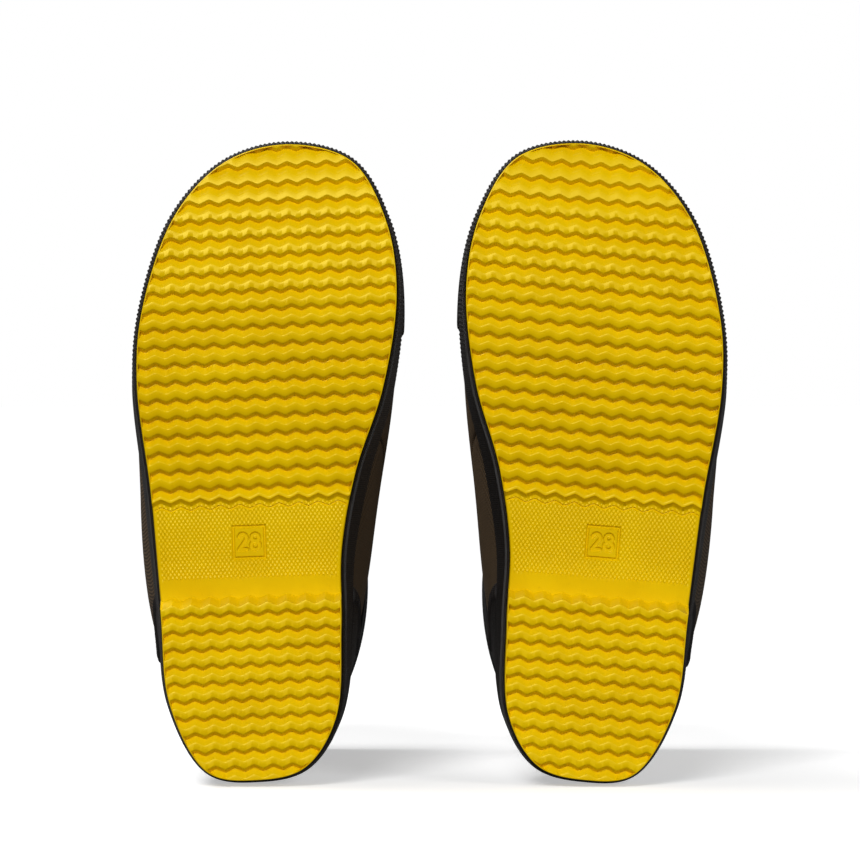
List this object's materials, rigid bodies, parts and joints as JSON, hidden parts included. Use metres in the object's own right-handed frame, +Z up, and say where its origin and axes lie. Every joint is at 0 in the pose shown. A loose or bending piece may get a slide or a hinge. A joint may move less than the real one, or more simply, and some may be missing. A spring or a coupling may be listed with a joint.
{
  "type": "deck boots",
  "caption": "Pair of child-size rubber deck boots lying on their backs, with wave-ribbed non-slip soles, heel blocks and plain rubber shafts.",
  "frame": {"origin": "on the floor, midway across the pair and midway between the soles and the rims of the shafts", "axes": "+X from the right boot to the left boot, +Y from the soles towards the rims of the shafts, +Z up along the feet from the heels to the toes"},
  "size_m": [0.182, 0.2164, 0.1961],
  "materials": {
    "sole_rubber": "moulded satin yellow rubber",
    "upper_rubber": "dark brown-black rubber with a fine woven emboss",
    "trim_rubber": "smooth dark rubber strip",
    "lining_textile": "knitted lining",
    "footbed_foam": "brushed textile on foam",
    "insole_board": "fibre board",
    "filler_foam": "light foam",
    "shank_steel": "pressed strip"
  },
  "bodies": {
    "root": {"right_outsole": "sole_rubber", "right_heel_wedge": "filler_foam", "right_forefoot_filler": "filler_foam", "right_shank": "shank_steel", "right_insole_board": "insole_board", "right_footbed": "footbed_foam", "right_lining": "lining_textile", "right_vamp": "upper_rubber", "right_medial_quarter": "upper_rubber", "right_lateral_quarter": "upper_rubber", "right_backstay": "trim_rubber", "right_heel_counter": "trim_rubber", "right_toe_guard": "trim_rubber", "right_foxing": "trim_rubber", "right_top_band": "trim_rubber", "left_outsole": "sole_rubber", "left_heel_wedge": "filler_foam", "left_forefoot_filler": "filler_foam", "left_shank": "shank_steel", "left_insole_board": "insole_board", "left_footbed": "footbed_foam", "left_lining": "lining_textile", "left_vamp": "upper_rubber", "left_medial_quarter": "upper_rubber", "left_lateral_quarter": "upper_rubber", "left_backstay": "trim_rubber", "left_heel_counter": "trim_rubber", "left_toe_guard": "trim_rubber", "left_foxing": "trim_rubber", "left_top_band": "trim_rubber"}
  },
  "joints": []
}
